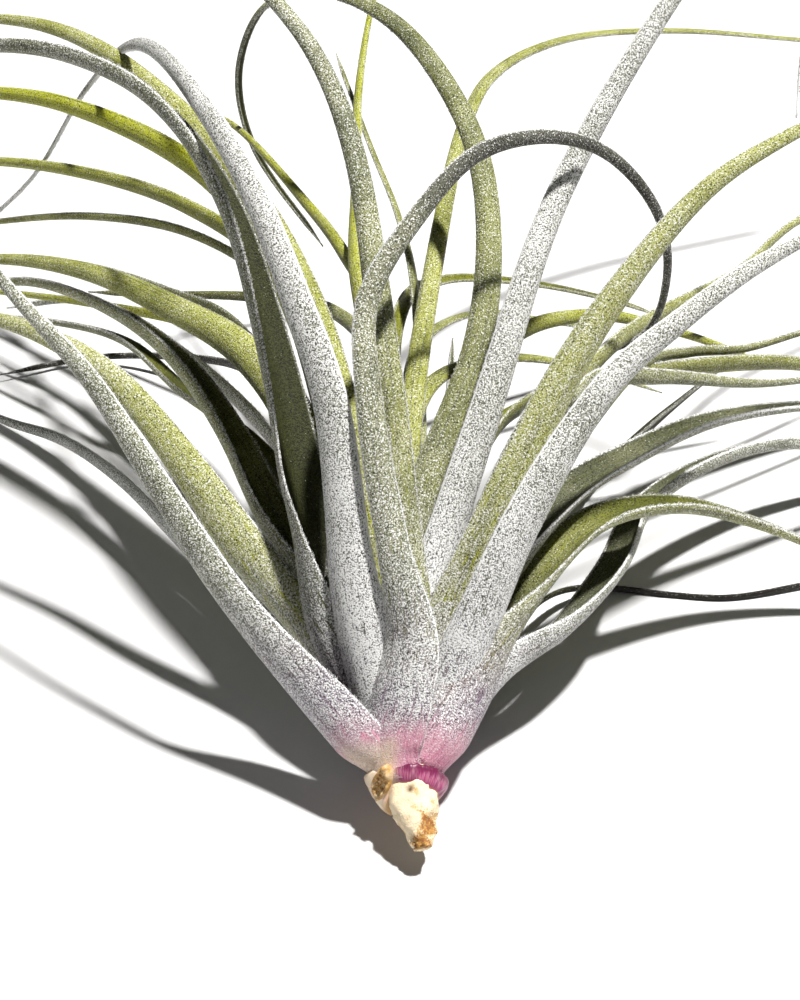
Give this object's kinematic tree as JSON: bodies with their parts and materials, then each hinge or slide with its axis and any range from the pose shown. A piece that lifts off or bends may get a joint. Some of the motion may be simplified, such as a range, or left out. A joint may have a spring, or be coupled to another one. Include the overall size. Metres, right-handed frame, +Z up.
{
  "type": "tillandsia stricta air plant",
  "caption": "Air plant lying on its lower leaves: a rosette of narrow channelled leaves that clasp a short stem with a bare stub at the front.",
  "frame": {"origin": "on the surface the plant lies on, under the middle of its box", "axes": "+Z up from the surface, -Y towards the stub, +X to the right as seen from the stub end"},
  "size_m": [0.2233, 0.2072, 0.1143],
  "materials": {
    "stem": "dry and matt, cream, with a torn brown end",
    "leaf_silver": "matt, covered in fine silvery scales",
    "leaf_lime": "satin, yellow green under a thin silvery bloom",
    "leaf_olive": "satin, olive green under a thin silvery bloom"
  },
  "bodies": {
    "root": {"stem": "stem", "leaf_curl": "leaf_silver", "leaf_left_front": "leaf_silver", "leaf_right_front": "leaf_lime", "leaf_under_middle": "leaf_olive", "leaf_left_under": "leaf_olive", "leaf_right_under": "leaf_olive", "leaf_under_right": "leaf_olive", "leaf_right_low": "leaf_olive", "leaf_broad_silver": "leaf_silver", "leaf_right_speckled": "leaf_silver", "leaf_right_silver": "leaf_silver", "leaf_left_middle": "leaf_lime", "leaf_shadowed": "leaf_silver", "leaf_right_lime": "leaf_lime", "leaf_tall_silver": "leaf_silver", "leaf_right_inner": "leaf_silver", "leaf_left_channel": "leaf_olive", "leaf_left_wide": "leaf_lime", "leaf_right_middle": "leaf_silver", "leaf_arch_thin": "leaf_lime", "leaf_right_green": "leaf_olive", "leaf_left_low_olive": "leaf_olive", "leaf_left_pale": "leaf_silver", "leaf_left_olive": "leaf_olive", "leaf_left_lime": "leaf_lime", "leaf_left_thin": "leaf_olive", "leaf_arch_olive": "leaf_olive", "leaf_arch_lime": "leaf_lime", "leaf_arch_low": "leaf_olive", "leaf_back_tall": "leaf_olive", "leaf_back_olive_right": "leaf_olive", "leaf_back_arch_right": "leaf_lime", "leaf_back_low_right": "leaf_olive", "leaf_back_low": "leaf_olive", "leaf_back_upright": "leaf_lime", "leaf_back_lime": "leaf_lime", "leaf_back_thin": "leaf_olive", "leaf_back_pale": "leaf_lime", "leaf_back_right_wide": "leaf_olive", "leaf_back_left": "leaf_olive", "leaf_back_low_left": "leaf_olive", "leaf_back_dark_left": "leaf_olive"}
  },
  "joints": []
}
